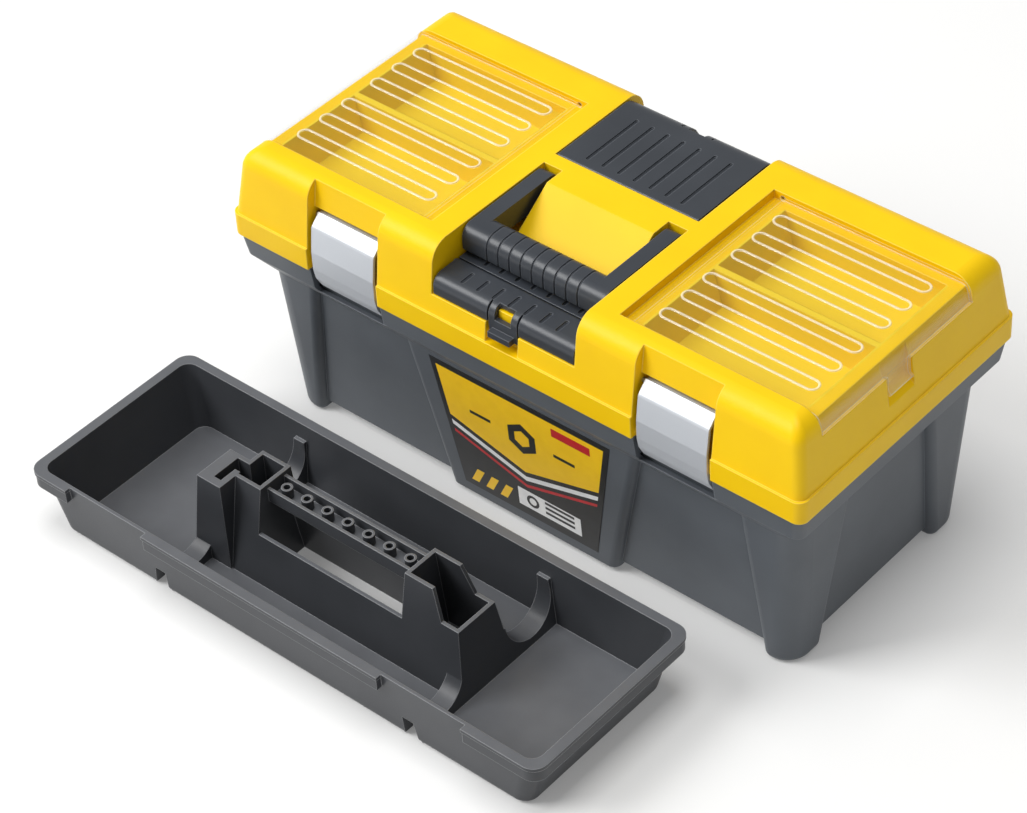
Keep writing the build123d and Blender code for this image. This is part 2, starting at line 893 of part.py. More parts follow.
# Liner: the dark panel that carries on under the grip, fixed to the floor of the recess
with BuildPart() as front_liner:
    liner_front_y = front_plate_hinge_y + plate_barrel_radius + running_gap
    block(
        -plate_half,
        plate_half,
        liner_front_y,
        liner_back_y,
        recess_floor_z,
        front_plate_top_z - running_gap,
    )
    plate_slot_cuts(liner_front_y + slot_width, liner_back_y - slot_width, front_plate_top_z - running_gap)

# Rear plate: hinged behind the handle, with a lip turned down over the back shoulder
rear_mid_z = height - plate_thickness / 2

with BuildPart() as rear_plate:
    shoulder = [
        (rear_hinge_y, rear_mid_z),
        (rear_plate_flat_y + plate_thickness, rear_mid_z),
        (rear_lip_y - plate_thickness / 2, rear_lip_z),
    ]
    strip_x(shoulder, rear_bend, plate_thickness, -plate_half, plate_half)
    plate_hinge(rear_hinge_y, rear_hinge_z)
    plate_slot_cuts(rear_hinge_y + 2 * plate_barrel_radius, rear_plate_flat_y - rear_bend, height)
    for sx in (-1, 1):
        block(
            sx * tab_half,
            sx * (tab_half + tab_slit),
            rear_plate_flat_y,
            half_y + past,
            rear_lip_z - past,
            height + past,
            mode=Mode.SUBTRACT,
        )
    tab = [
        (rear_lip_y - plate_thickness / 2, rear_lip_z + plate_thickness),
        (rear_lip_y - plate_thickness / 2, rear_lip_z - tab_drop + plate_thickness),
        (rear_lip_y + plate_thickness / 2, rear_lip_z - tab_drop),
    ]
    strip_x(tab, plate_thickness, plate_thickness / 2, -tab_lip_half, tab_lip_half)
    block(
        -tab_window_half,
        tab_window_half,
        rear_plate_flat_y,
        half_y + past,
        rear_lip_z + plate_thickness,
        height + past,
        mode=Mode.SUBTRACT,
    )
    plate_hole(rear_hinge_y, rear_hinge_z)

plate_pins = []
for pin_y, pin_z in ((front_plate_hinge_y, front_plate_hinge_z), (rear_hinge_y, rear_hinge_z)):
    with BuildPart() as pin:
        rod_x(-plate_pin_half, plate_pin_half, pin_y, pin_z, plate_pin_radius)
    plate_pins.append(pin)

# Latches: a bent plate with a hinge barrel on top and a hook at the foot
latch_face_y = -half_y + latch_face_inset
latch_path = [
    (latch_pivot_y - latch_barrel_radius / 2, latch_pivot_z + latch_barrel_radius),
    (latch_knee_inset - half_y, latch_pivot_z - latch_knee_drop),
    (latch_face_y, rim_high_z - latch_face_top),
    (latch_face_y, rim_low_z + latch_face_foot),
    (latch_curl_inset - half_y, latch_foot_z + latch_curl_rise),
    (latch_foot_inset - half_y, latch_foot_z),
]
latches = []
latch_pins = []
for sx in (-1, 1):
    latch_ends = (sx * latch_x - latch_width / 2, sx * latch_x + latch_width / 2)
    with BuildPart() as latch:
        strip_x(latch_path, latch_bend, latch_thickness, *latch_ends)
        rod_x(*latch_ends, latch_pivot_y, latch_pivot_z, latch_barrel_radius)
        block(
            sx * latch_x - keeper_half,
            sx * latch_x + keeper_half,
            latch_path[-1][0],
            latch_path[-1][0] + latch_hook_depth,
            latch_foot_z - latch_thickness / 4,
            latch_foot_z - latch_thickness / 4 + latch_hook_height,
        )
        rod_x(
            latch_ends[0] - past,
            latch_ends[1] + past,
            latch_pivot_y,
            latch_pivot_z,
            latch_pin_radius + pin_play,
            mode=Mode.SUBTRACT,
        )
    latches.append(latch)
    with BuildPart() as pin:
        rod_x(
            sx * latch_x - latch_pocket_half - wall,
            sx * latch_x + latch_pocket_half + wall,
            latch_pivot_y,
            latch_pivot_z,
            latch_pin_radius,
        )
    latch_pins.append(pin)

# Clear covers: hinged beside the handle, with raised loops on top and a lip over the end of the lid
cover_ends = (cover_front_y + cover_side_gap, cover_back_y - cover_side_gap)
cover_lip_x = half_x - rim_step - lid_draft * (cover_lip_z - rim_high_z)
cover_tab_z = cover_lip_z - tab_drop
loop_span = (cover_back_y - cover_front_y) / 2 - well_margin - 2 * loop_margin
loop_pitch = loop_span / loop_count
loop_length = well_outer_x - well_inner_x - 2 * loop_end_margin
covers = []
for sx in (-1, 1):
    with BuildPart() as cover:
        edge = [
            (sx * cover_hinge_x, cover_hinge_z),
            (sx * (cover_end_x + cover_thickness), cover_hinge_z),
            (sx * (cover_lip_x - cover_thickness / 2), cover_lip_z),
        ]
        strip_y(edge, cover_bend, cover_thickness, *cover_ends)
        tab = [
            (sx * (cover_lip_x - cover_thickness / 2 - cover_tab_in), cover_lip_z + cover_thickness),
            (sx * (cover_lip_x - cover_thickness / 2 + cover_tab_out), cover_tab_z + cover_thickness),
            (sx * (cover_lip_x + cover_thickness), cover_tab_z),
        ]
        strip_y(tab, cover_thickness, cover_thickness, well_middle_y - tab_half, well_middle_y + tab_half)
        rod_y(sx * cover_hinge_x, *cover_ends, cover_hinge_z, cover_barrel_radius)
        rod_y(
            sx * cover_hinge_x,
            cover_front_y - cover_pin_reach,
            cover_back_y + cover_pin_reach,
            cover_hinge_z,
            cover_pin_radius,
        )
        for sy in (-1, 1):
            far_y = (cover_front_y + well_margin) if sy < 0 else (cover_back_y - well_margin)
            with BuildSketch(Plane.XY.offset(cover_top_z)) as loops:
                with Locations((sx * (well_inner_x + well_outer_x) / 2, (well_middle_y + far_y) / 2)):
                    with GridLocations(0, loop_pitch, 1, loop_count):
                        SlotOverall(loop_length, loop_width)
                        inner_length = loop_length - 2 * loop_line
                        SlotOverall(inner_length, loop_width - 2 * loop_line, mode=Mode.SUBTRACT)
            extrude(loops.sketch, amount=loop_height)
    covers.append(cover)

# Tray: three sub-tubs under one rim, with a hollow spine that carries a bar of bit holders
tray_y = -half_y - tray_front_gap - tray_width / 2
tray_length = length - 2 * (wall_top_inset + wall - tray_ledge + tray_end_gap)
tray_foot_length = tray_length - 2 * tray_foot_inset_x
tray_foot_width = tray_width - 2 * tray_foot_inset_y
tray_inner_length = tray_length - 2 * tray_rim
tray_inner_width = tray_width - 2 * tray_rim
tray_top_length = tray_inner_length + 2 * tray_wall
tray_top_width = tray_inner_width + 2 * tray_wall
skirt_low_z = tray_height - tray_skirt
lip_low_z = tray_height - tray_lip


def between(foot, top, z):
    """Value at height z on a straight line from the tray's foot to the top of its spine."""
    return foot + (top - foot) * z / spine_top_z


def tray_body(mode=Mode.ADD):
    """Outside of the tray below its rim."""
    rounded_block(
        (0, tray_foot_length, tray_foot_width, tray_corner),
        (tray_height, tray_top_length, tray_top_width, tray_corner),
        mode=mode,
    )


# Outline of the rim, set back in two places along the front, and of the skirt that hangs under it
with BuildSketch(Plane.XY.offset(lip_low_z)) as rim:
    RectangleRounded(tray_length, tray_width, tray_corner)
    for x0, x1 in cut_backs:
        with Locations(((x0 + x1) / 2, -tray_width / 2)):
            Rectangle(x1 - x0, 2 * cut_back_depth, mode=Mode.SUBTRACT)
with BuildSketch(Plane.XY.offset(skirt_low_z)) as skirt:
    add(rim.sketch_local)
    offset(amount=-tray_lip_reach, kind=Kind.INTERSECTION, mode=Mode.REPLACE)
with BuildSketch(Plane.XY.offset(skirt_low_z)) as skirt_inside:
    add(rim.sketch_local)
    offset(amount=-tray_lip_reach - tray_wall, kind=Kind.INTERSECTION, mode=Mode.REPLACE)
with BuildPart() as under_rim:
    extrude(skirt_inside.sketch, amount=lip_low_z - skirt_low_z)
    tray_body(Mode.SUBTRACT)

# Low cross walls with a round scoop on each side of the spine
with BuildPart() as saddles:
    saddle_foot_y = (tray_foot_width - tray_wall) / 2
    saddle_top_y = saddle_foot_y + (tray_top_width - tray_foot_width) / 2 * divider_top_z / tray_height
    saddle_top_x = between(spine_foot_half_x, spine_top_half_x, divider_top_z)
    leaning_block(
        0,
        (-spine_foot_half_x, spine_foot_half_x, -saddle_foot_y, saddle_foot_y),
        divider_top_z,
        (-saddle_top_x, saddle_top_x, -saddle_top_y, saddle_top_y),
    )
    block(
        -divider_inner_x,
        divider_inner_x,
        -tray_width,
        tray_width,
        -past,
        divider_top_z + past,
        Mode.SUBTRACT,
    )
    for sy in (-1, 1):
        rod_x(
            -tray_length / 2,
            tray_length / 2,
            sy * scoop_y,
            scoop_floor_z + scoop_radius,
            scoop_radius,
            mode=Mode.SUBTRACT,
        )
        block(
            -tray_length / 2,
            tray_length / 2,
            sy * (scoop_y - scoop_radius - spine_wall),
            sy * (scoop_y + scoop_radius),
            scoop_floor_z + scoop_radius,
            divider_top_z + past,
            Mode.SUBTRACT,
        )

# Room between the three sub-tubs: a low channel along each cross wall, flared at the foot, which
# rises under the scoops to a tall mouth at each side
channel_height = scoop_floor_z - spine_wall
channel_inner_x = divider_inner_x + channel_wall


def channel_outer_x(z):
    """Outer side of the channel at height z, one wall inside the leaning cross wall."""
    return between(spine_foot_half_x, spine_top_half_x, z) - channel_wall


with BuildPart() as channels:
    full_y = (-tray_width, tray_width)
    low_z = -channel_flare
    leaning_block(
        low_z,
        (channel_inner_x, channel_outer_x(low_z), *full_y),
        channel_mouth_height,
        (channel_inner_x, channel_outer_x(channel_mouth_height), *full_y),
    )
    block(0, tray_length, -scoop_y, scoop_y, channel_height, tray_height, Mode.SUBTRACT)
    for sy in (-1, 1):
        rod_x(
            0,
            tray_length,
            sy * scoop_y,
            scoop_floor_z + scoop_radius,
            scoop_radius + spine_wall,
            mode=Mode.SUBTRACT,
        )
    leaning_block(
        low_z,
        (channel_inner_x + 2 * low_z, channel_outer_x(low_z) - 2 * low_z, *full_y),
        channel_flare,
        (channel_inner_x, channel_outer_x(channel_flare), *full_y),
    )
    mirror(about=Plane.YZ)

# Stepped tower at the right end of the spine
with BuildPart() as right_tower:
    leaning_block(
        0,
        (tower_inner_x, spine_foot_half_x, *spine_foot_y),
        spine_top_z,
        (tower_inner_x, spine_top_half_x, *spine_top_y),
    )
    step = [
        (tower_inner_x - past, -past),
        (spine_foot_half_x + past, -past),
        (spine_foot_half_x + past, right_low_z),
        (right_step_x[1], right_low_z),
        (right_step_x[0], spine_top_z),
        (tower_inner_x - past, spine_top_z),
    ]
    prism_y(step, -tray_width, tray_width, mode=Mode.INTERSECT)

with BuildPart() as tray:
    tray_body()
    fillet(tray.edges().group_by(Axis.Z)[0], tray_foot_round)
    extrude(skirt.sketch, amount=tray_skirt)
    extrude(rim.sketch, amount=tray_lip)
    add(under_rim.part, mode=Mode.SUBTRACT)
    inside_corner = tray_corner - tray_wall
    rounded_block(
        (tray_wall, tray_foot_length - 2 * tray_wall, tray_foot_width - 2 * tray_wall, inside_corner),
        (tray_height + tray_wall, tray_inner_length, tray_inner_width, inside_corner),
        mode=Mode.SUBTRACT,
    )
    add(saddles.part)
    # Middle of the spine, and the two overlapping halves of the left tower
    leaning_block(
        0,
        (-tower_inner_x - spine_wall, tower_inner_x + spine_wall, *spine_foot_y),
        bar_top_z,
        (
            -tower_inner_x - spine_wall,
            tower_inner_x + spine_wall,
            between(spine_foot_y[0], spine_top_y[0], bar_top_z),
            bar_y + bar_half,
        ),
    )
    leaning_block(
        0,
        (-spine_foot_half_x, -tower_inner_x, *spine_foot_y),
        spine_top_z,
        (left_step_x, -tower_inner_x, *spine_top_y),
    )
    leaning_block(
        0,
        (-spine_foot_half_x, left_step_x + spine_wall, left_far_front_y, spine_foot_y[1]),
        spine_top_z,
        (-spine_top_half_x, left_step_x + spine_wall, left_far_front_y, left_far_rear_y),
    )
    add(right_tower.part)
    # Finger slot under the bar, open to the front
    block(
        -tower_inner_x,
        tower_inner_x,
        -tray_width / 2 + 2 * tray_rim,
        bar_y - bar_half,
        slot_low_z,
        spine_top_z,
        Mode.SUBTRACT,
    )
    # Hollow under the bar, open below, and the hollow under the left tower
    leaning_block(
        -past,
        (
            -tower_inner_x,
            tower_inner_x,
            between(spine_foot_y[0], spine_top_y[0], -past) + spine_wall,
            spine_foot_y[1] - spine_wall,
        ),
        bar_low_z,
        (
            -tower_inner_x,
            tower_inner_x,
            between(spine_foot_y[0], spine_top_y[0], bar_low_z) + spine_wall,
            bar_y + bar_half - spine_wall,
        ),
        Mode.SUBTRACT,
    )
    left_hollow_z = left_pocket_z - spine_wall
    leaning_block(
        0,
        (
            -spine_foot_half_x + spine_wall,
            -tower_inner_x - spine_wall,
            spine_foot_y[0] + spine_wall,
            spine_foot_y[1] - spine_wall,
        ),
        left_hollow_z,
        (
            -between(spine_foot_half_x, spine_top_half_x, left_hollow_z) + spine_wall,
            -tower_inner_x - spine_wall,
            between(spine_foot_y[0], spine_top_y[0], left_hollow_z) + spine_wall,
            between(spine_foot_y[1], left_far_rear_y, left_hollow_z) - spine_wall,
        ),
        Mode.SUBTRACT,
    )
    # Pockets in the towers and the channel along the bar
    top = spine_top_z + past
    block(
        left_step_x + spine_wall,
        -tower_inner_x - spine_wall,
        spine_top_y[0] + spine_wall,
        spine_top_y[1] - spine_wall,
        left_pocket_z,
        top,
        Mode.SUBTRACT,
    )
    block(*left_far_pocket, left_pocket_z, top, Mode.SUBTRACT)
    block(*left_link_pocket, left_pocket_z, top, Mode.SUBTRACT)
    right_pocket_z = channel_height + spine_wall
    leaning_block(
        right_pocket_z,
        (
            tower_inner_x + spine_wall,
            between(spine_foot_half_x, spine_top_half_x, right_pocket_z) - spine_wall,
            between(spine_foot_y[0], spine_top_y[0], right_pocket_z) + spine_wall,
            between(spine_foot_y[1], spine_top_y[1], right_pocket_z) - spine_wall,
        ),
        spine_top_z,
        (
            tower_inner_x + spine_wall,
            spine_top_half_x - spine_wall,
            spine_top_y[0] + spine_wall,
            spine_top_y[1] - spine_wall,
        ),
        Mode.SUBTRACT,
    )
    block(
        -tower_inner_x,
        tower_inner_x,
        bar_y - bar_half + rail_width,
        bar_y + bar_half - rail_width,
        bar_low_z + spine_wall,
        top,
        Mode.SUBTRACT,
    )
    add(channels.part, mode=Mode.SUBTRACT)

# Bit holders: round tubes that stand in the channel of the tray's bar
bit_holders = []
for number in range(bit_tubes):
    bit_x = (number - (bit_tubes - 1) / 2) * bit_pitch
    with BuildPart() as holder:
        with BuildSketch(Plane.XY.offset(bar_low_z + spine_wall)) as ring:
            with Locations((bit_x, bar_y)):
                Circle(bit_outer_radius)
                Circle(bit_inner_radius, mode=Mode.SUBTRACT)
        extrude(amount=bar_top_z - bar_low_z - spine_wall)
    bit_holders.append(holder)

pieces = [
    (tub, "tub"),
    (lid_hinge_pins[0], "lid_hinge_pin_left"),
    (lid_hinge_pins[1], "lid_hinge_pin_right"),
    (label, "label"),
    (lid, "lid"),
    (handle, "handle"),
    (handle_pins[0], "handle_pin_left"),
    (handle_pins[1], "handle_pin_right"),
    (front_plate, "front_plate"),
    (plate_pins[0], "front_plate_pin"),
    (front_liner, "front_liner"),
    (rear_plate, "rear_plate"),
    (plate_pins[1], "rear_plate_pin"),
    (latches[0], "latch_left"),
    (latches[1], "latch_right"),
    (latch_pins[0], "latch_pin_left"),
    (latch_pins[1], "latch_pin_right"),
    (covers[0], "cover_left"),
    (covers[1], "cover_right"),
]
solids = [(made.part, name) for made, name in pieces]
tray_pieces = [(tray, "tray")]
for number, holder in enumerate(bit_holders):
    tray_pieces.append((holder, f"bit_holder_{number + 1}"))
for made, name in tray_pieces:
    solids.append((made.part.moved(Location((tray_x, tray_y, 0))), name))

# The shared origin is on the floor under the middle of the box and the tray together
set_x = (tray_x - tray_length / 2 + half_x) / 2
set_y = (tray_y - tray_width / 2 + hinge_y + hinge_radius) / 2

os.makedirs("parts", exist_ok=True)
for solid, name in solids:
    placed = solid.moved(Location((-set_x, -set_y, 0)))
    placed.label = name
    export_step(placed, f"parts/{name}.step")
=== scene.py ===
import json
from math import cos, radians, sin

import bpy
import numpy as np
from mathutils import Matrix, Vector


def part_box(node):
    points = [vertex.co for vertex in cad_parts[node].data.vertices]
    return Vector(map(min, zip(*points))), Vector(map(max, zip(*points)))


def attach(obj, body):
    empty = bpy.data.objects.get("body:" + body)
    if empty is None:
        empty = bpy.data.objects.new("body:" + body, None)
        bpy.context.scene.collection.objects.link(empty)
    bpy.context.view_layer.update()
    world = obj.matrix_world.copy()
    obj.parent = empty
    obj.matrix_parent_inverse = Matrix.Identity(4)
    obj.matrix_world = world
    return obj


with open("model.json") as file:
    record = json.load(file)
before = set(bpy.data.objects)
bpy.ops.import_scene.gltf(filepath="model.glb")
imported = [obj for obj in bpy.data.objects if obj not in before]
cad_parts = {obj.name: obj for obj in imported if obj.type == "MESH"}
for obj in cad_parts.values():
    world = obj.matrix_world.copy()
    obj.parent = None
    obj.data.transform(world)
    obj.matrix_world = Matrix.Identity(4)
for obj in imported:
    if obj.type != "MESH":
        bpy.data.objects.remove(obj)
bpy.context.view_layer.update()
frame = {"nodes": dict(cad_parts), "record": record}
nodes = frame["nodes"]

# Tub. A deep box on four corner legs, injection moulded in slate grey polypropylene.
# Its tool was spark eroded, so every face carries a fine dull grain, and the edges are
# rounded by about a millimetre, with a painted highlight along them.
MM = 0.001


def linear(hexa):
    """sRGB hex text to the linear RGBA that shader sockets take."""
    parts = np.array([int(hexa[i:i + 2], 16) for i in (1, 3, 5)]) / 255
    flat = np.where(parts <= 0.04045, parts / 12.92, ((parts + 0.055) / 1.055) ** 2.4)
    return (*flat.tolist(), 1.0)


def add_node(tree, kind, inputs=None, **settings):
    """Adds one node with its settings, and sets or links each named input."""
    made = tree.nodes.new(kind)
    for name, value in settings.items():
        setattr(made, name, value)
    for name, value in (inputs or {}).items():
        if isinstance(value, bpy.types.NodeSocket):
            tree.links.new(value, made.inputs[name])
        else:
            made.inputs[name].default_value = value
    return made


def blank_material(name):
    """New node material with only a Principled shader and its output. Returns material, tree and shader."""
    material = bpy.data.materials.new(name)
    material.use_nodes = True
    tree = material.node_tree
    tree.nodes.clear()
    shader = add_node(tree, "ShaderNodeBsdfPrincipled")
    add_node(tree, "ShaderNodeOutputMaterial", {"Surface": shader.outputs[0]})
    return material, tree, shader


def moulded_plastic(name, dark, light, edge_highlight, roughness, shine, edge_mm, top_light=None):
    """Moulded plastic: cloudy colour from dark to light, spark-eroded grain, soft edges and a painted
    highlight along them.

    An edge is where the normal rounded over edge_mm turns away from the face's own normal; there the colour
    is mixed towards a lighter one as a painted highlight. The real grain is about a tenth of a millimetre,
    too fine for the picture, so it is drawn coarser. Where a top colour is given, faces that look up are
    mixed towards it in soft blotches, as painted light from above.
    """
    cloud_size, blotch_size, grain_size, grain_depth = 60 * MM, 25 * MM, 0.9 * MM, 0.1 * MM
    flat_cosine, edge_cosine, brightest_edge_share = 0.985, 0.85, 0.85
    least_top_light, most_top_light = 0.55, 0.95
    leaning, level_enough = 0.8, 0.99
    grain_strength, spread = 0.22, 0.05
    material, tree, shader = blank_material(name)
    axes = add_node(tree, "ShaderNodeTexCoord")
    place = axes.outputs["Object"]
    face = add_node(tree, "ShaderNodeNewGeometry").outputs["Normal"]
    cloud = add_node(tree, "ShaderNodeTexNoise", {"Vector": place, "Scale": 1 / cloud_size, "Detail": 3.0})
    tint = add_node(tree, "ShaderNodeValToRGB", {"Fac": cloud.outputs["Fac"]})
    tint.color_ramp.elements[0].position = 0.3
    tint.color_ramp.elements[0].color = linear(dark)
    tint.color_ramp.elements[1].position = 0.7
    tint.color_ramp.elements[1].color = linear(light)
    edge = add_node(tree, "ShaderNodeBevel", {"Radius": edge_mm * MM}, samples=8).outputs["Normal"]
    turned = add_node(tree, "ShaderNodeVectorMath", {0: edge, 1: face}, operation="DOT_PRODUCT")
    edge_highlight_share = add_node(
        tree,
        "ShaderNodeMapRange",
        {
            "Value": turned.outputs["Value"],
            "From Min": flat_cosine,
            "From Max": edge_cosine,
            "To Min": 0.0,
            "To Max": brightest_edge_share,
        },
    )
    colour = tint.outputs["Color"]
    # Painted light from above: faces that look up are mixed towards a lighter colour in soft blotches, so
    # floors look lit from overhead.
    if top_light:
        upward = add_node(tree, "ShaderNodeSeparateXYZ", {"Vector": axes.outputs["Normal"]}).outputs["Z"]
        level = add_node(
            tree,
            "ShaderNodeMapRange",
            {"Value": upward, "From Min": leaning, "From Max": level_enough},
        )
        blotch = add_node(
            tree,
            "ShaderNodeTexNoise",
            {"Vector": place, "Scale": 1 / blotch_size, "Detail": 5.0},
        )
        top_light_blotches = add_node(
            tree,
            "ShaderNodeMapRange",
            {"Value": blotch.outputs["Fac"], "To Min": least_top_light, "To Max": most_top_light},
        )
        top_light_share = add_node(
            tree,
            "ShaderNodeMath",
            {0: level.outputs[0], 1: top_light_blotches.outputs[0]},
            operation="MULTIPLY",
        )
        lit_floors = add_node(tree, "ShaderNodeMix", {"Factor": top_light_share.outputs[0]}, data_type="RGBA")
        tree.links.new(colour, lit_floors.inputs["A"])
        lit_floors.inputs["B"].default_value = linear(top_light)
        colour = lit_floors.outputs["Result"]
    # Painted highlight: edges are mixed towards the lighter edge colour, standing in for light caught on
    # the rounded edges.
    highlighted_edges = add_node(tree, "ShaderNodeMix", {"Factor": edge_highlight_share.outputs["Result"]}, data_type="RGBA")
    tree.links.new(colour, highlighted_edges.inputs["A"])
    highlighted_edges.inputs["B"].default_value = linear(edge_highlight)
    grain = add_node(tree, "ShaderNodeTexNoise", {"Vector": place, "Scale": 1 / grain_size, "Detail": 2.0})
    dull = add_node(
        tree,
        "ShaderNodeMapRange",
        {"Value": grain.outputs["Fac"], "To Min": roughness - spread, "To Max": roughness + spread},
    )
    bump = add_node(
        tree,
        "ShaderNodeBump",
        {
            "Height": grain.outputs["Fac"],
            "Strength": grain_strength,
            "Distance": grain_depth,
            "Normal": edge,
        },
    )
    tree.links.new(highlighted_edges.outputs["Result"], shader.inputs["Base Color"])
    tree.links.new(dull.outputs["Result"], shader.inputs["Roughness"])
    tree.links.new(bump.outputs["Normal"], shader.inputs["Normal"])
    shader.inputs["IOR"].default_value = 1.49
    shader.inputs["Specular IOR Level"].default_value = shine
    return material


def dress(node_name, material):
    """Gives a CAD node its finish."""
    slots = nodes[node_name].data.materials
    slots.clear()
    slots.append(material)


slate_polypropylene = moulded_plastic(
    "slate_polypropylene",
    dark="#51565C",
    light="#595E64",
    edge_highlight="#7F848B",
    roughness=0.42,
    shine=0.4,
    edge_mm=1.0,
)
dress("tub", slate_polypropylene)

# Lid hinge pins. Two plain rods of drawn steel that run through the eyes at the back.
# The drawing leaves fine lines along the rod and a soft shine.


def drawn_steel():
    """Drawn steel: mid grey metal whose roughness varies in fine lines along X."""
    line_width, stretch = 0.4 * MM, 0.02
    smoothest, roughest = 0.25, 0.45
    material, tree, shader = blank_material("drawn_steel")
    place = add_node(tree, "ShaderNodeTexCoord").outputs["Object"]
    along = add_node(tree, "ShaderNodeMapping", {"Vector": place, "Scale": (stretch, 1.0, 1.0)})
    lines = add_node(tree, "ShaderNodeTexNoise", {"Vector": along.outputs[0], "Scale": 1 / line_width})
    dull = add_node(
        tree,
        "ShaderNodeMapRange",
        {"Value": lines.outputs["Fac"], "To Min": smoothest, "To Max": roughest},
    )
    tree.links.new(dull.outputs["Result"], shader.inputs["Roughness"])
    shader.inputs["Base Color"].default_value = linear("#B9BBBE")
    shader.inputs["Metallic"].default_value = 1.0
    return material


steel = drawn_steel()
for name in ("lid_hinge_pin_left", "lid_hinge_pin_right"):
    dress(name, steel)

# Lid. A shell of bright yellow polypropylene with the same spark-eroded grain as the tub,
# with round shoulders, deep pockets for the handle, plates and latches, and a painted highlight along its
# edges.
yellow_polypropylene = moulded_plastic(
    "yellow_polypropylene",
    dark="#F0C200",
    light="#F5C903",
    edge_highlight="#FFDD5C",
    roughness=0.42,
    shine=0.22,
    edge_mm=1.4,
)
dress("lid", yellow_polypropylene)


def pale_wells(material, first, last):
    """Paints the plastic on the inside of the four wells paler, as painted light: under the covers it looks
    lighter.

    The wells reach from the box first, at the left front, to the box last, at the right rear. They are
    alike about a plane across X, so a point lies in one of them when its distance from that plane
    is within half a well's length of the middle of the last one. The wells' ends lean out by
    end_slope towards the top. Their undersides stay as they are.
    """
    tree = material.node_tree
    first_low, (last_low, last_high) = first[0], last
    around = 2.8 * MM
    end_slope = 9.4 * MM
    middle_x, middle_y, middle_z = ((low + high) / 2 for low, high in zip(first_low, last_high))
    well_x = (last_low[0] + last_high[0]) / 2 - middle_x
    half_x = (last_high[0] - last_low[0]) / 2 + around
    half_y, half_z = ((last_high[i] - first_low[i]) / 2 + around for i in (1, 2))
    place = add_node(tree, "ShaderNodeTexCoord").outputs["Object"]
    spot = add_node(tree, "ShaderNodeSeparateXYZ", {"Vector": place}).outputs
    across = add_node(tree, "ShaderNodeMath", {0: spot["X"], 1: middle_x}, operation="SUBTRACT")
    away = add_node(tree, "ShaderNodeMath", {0: across.outputs[0]}, operation="ABSOLUTE")
    half_here = add_node(
        tree,
        "ShaderNodeMapRange",
        {
            "Value": spot["Z"],
            "From Min": first_low[2],
            "From Max": last_high[2],
            "To Min": half_x,
            "To Max": half_x + end_slope,
        },
    )
    in_x = add_node(
        tree,
        "ShaderNodeMath",
        {0: away.outputs[0], 1: well_x, 2: half_here.outputs["Result"]},
        operation="COMPARE",
    )
    in_y = add_node(tree, "ShaderNodeMath", {0: spot["Y"], 1: middle_y, 2: half_y}, operation="COMPARE")
    in_z = add_node(tree, "ShaderNodeMath", {0: spot["Z"], 1: middle_z, 2: half_z}, operation="COMPARE")
    flat = add_node(tree, "ShaderNodeMath", {0: in_x.outputs[0], 1: in_y.outputs[0]}, operation="MULTIPLY")
    inside = add_node(
        tree,
        "ShaderNodeMath",
        {0: flat.outputs[0], 1: in_z.outputs[0]},
        operation="MULTIPLY",
    )
    shader = next(node for node in tree.nodes if node.type == "BSDF_PRINCIPLED")
    grained = shader.inputs["Base Color"].links[0].from_socket
    # Painted light: inside the wells the colour is mixed towards a paler yellow.
    pale = add_node(tree, "ShaderNodeMix", {"Factor": inside.outputs[0]}, data_type="RGBA")
    tree.links.new(grained, pale.inputs["A"])
    pale.inputs["B"].default_value = linear("#EDCC28")
    tree.links.new(pale.outputs["Result"], shader.inputs["Base Color"])


rooms = {opening["name"]: opening["box_m"] for opening in frame["record"]["physics"]["openings"]}
pale_wells(yellow_polypropylene, rooms["left_front_well"], rooms["right_rear_well"])

# Handle, plates and liner. Dark grey polypropylene mouldings that drop into the lid,
# with a slightly waxy grain and soft edges around their slots and ribs, with a painted highlight along
# them.
dark_polypropylene = moulded_plastic(
    "dark_polypropylene",
    dark="#30343A",
    light="#373B41",
    edge_highlight="#63676E",
    roughness=0.34,
    shine=0.45,
    edge_mm=1.0,
)
for name in ("handle", "front_plate", "front_liner", "rear_plate"):
    dress(name, dark_polypropylene)
for name in ("handle_pin_left", "handle_pin_right", "front_plate_pin", "rear_plate_pin"):
    dress(name, steel)

# Latches. Bent sheet aluminium with a satin anodised face: an even, pale sheen with
# a faint grain along the sheet.


def satin_aluminium():
    """Satin aluminium: pale metal with faint rolling lines along X and soft sheet edges."""
    line_width, stretch, edge_radius = 0.7 * MM, 0.03, 0.8 * MM
    smoothest, roughest = 0.34, 0.44
    material, tree, shader = blank_material("satin_anodised_aluminium")
    place = add_node(tree, "ShaderNodeTexCoord").outputs["Object"]
    along = add_node(tree, "ShaderNodeMapping", {"Vector": place, "Scale": (stretch, 1.0, 1.0)})
    lines = add_node(tree, "ShaderNodeTexNoise", {"Vector": along.outputs[0], "Scale": 1 / line_width})
    dull = add_node(
        tree,
        "ShaderNodeMapRange",
        {"Value": lines.outputs["Fac"], "To Min": smoothest, "To Max": roughest},
    )
    edge = add_node(tree, "ShaderNodeBevel", {"Radius": edge_radius}, samples=6)
    tree.links.new(dull.outputs["Result"], shader.inputs["Roughness"])
    tree.links.new(edge.outputs["Normal"], shader.inputs["Normal"])
    shader.inputs["Base Color"].default_value = linear("#C6CAD0")
    shader.inputs["Metallic"].default_value = 0.35
    return material


aluminium = satin_aluminium()
for name in ("latch_left", "latch_right"):
    dress(name, aluminium)
for name in ("latch_pin_left", "latch_pin_right"):
    dress(name, steel)
